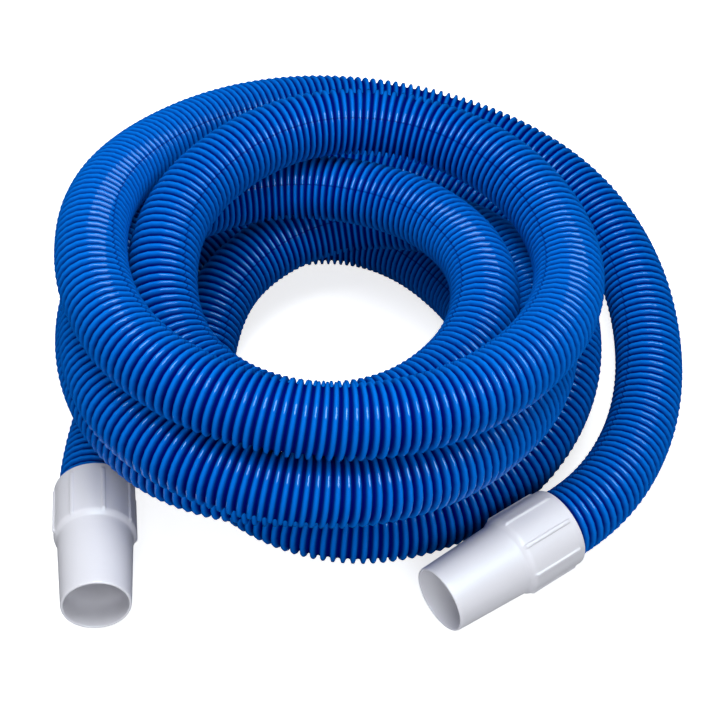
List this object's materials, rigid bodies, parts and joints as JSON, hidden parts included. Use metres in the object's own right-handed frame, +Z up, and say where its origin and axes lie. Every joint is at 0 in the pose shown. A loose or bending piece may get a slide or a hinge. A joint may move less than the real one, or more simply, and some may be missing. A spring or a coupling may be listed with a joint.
{
  "type": "pool vacuum hose",
  "caption": "Spiral-wound swimming pool vacuum hose lying in a loose coil, with a swivel cuff on one end and a fixed cuff on the other.",
  "frame": {"origin": "on the floor, under the middle of the box around the whole object", "axes": "+Z up, -Y towards the side where both cuffs lie; the coil's upright axis is along Z"},
  "size_m": [0.4279, 0.4364, 0.1843],
  "materials": {
    "hose_blue": "glossy",
    "cuff_white": "satin",
    "sleeve_white": "matte",
    "washer_grey": "satin",
    "seal_rubber": "matte"
  },
  "bodies": {
    "hose": {"hose_turn_1": "hose_blue", "hose_turn_2": "hose_blue", "hose_turn_3": "hose_blue", "hose_turn_4": "hose_blue", "hose_turn_5": "hose_blue", "hose_turn_6": "hose_blue", "hose_end_swivel": "hose_blue", "hose_end_fixed": "hose_blue", "swivel_sleeve": "sleeve_white", "swivel_seal": "seal_rubber", "fixed_cuff": "cuff_white", "fixed_seal": "seal_rubber"},
    "swivel_end": {"swivel_cuff": "cuff_white", "swivel_retainer": "sleeve_white", "swivel_washer": "washer_grey"}
  },
  "joints": [
    {"name": "swivel_turn", "type": "hinge", "parent": "hose", "child": "swivel_end", "pos_m": [0.10186, -0.15635, 0.02704], "axis": [-0.8111, -0.5849, 0], "continuous": true}
  ]
}
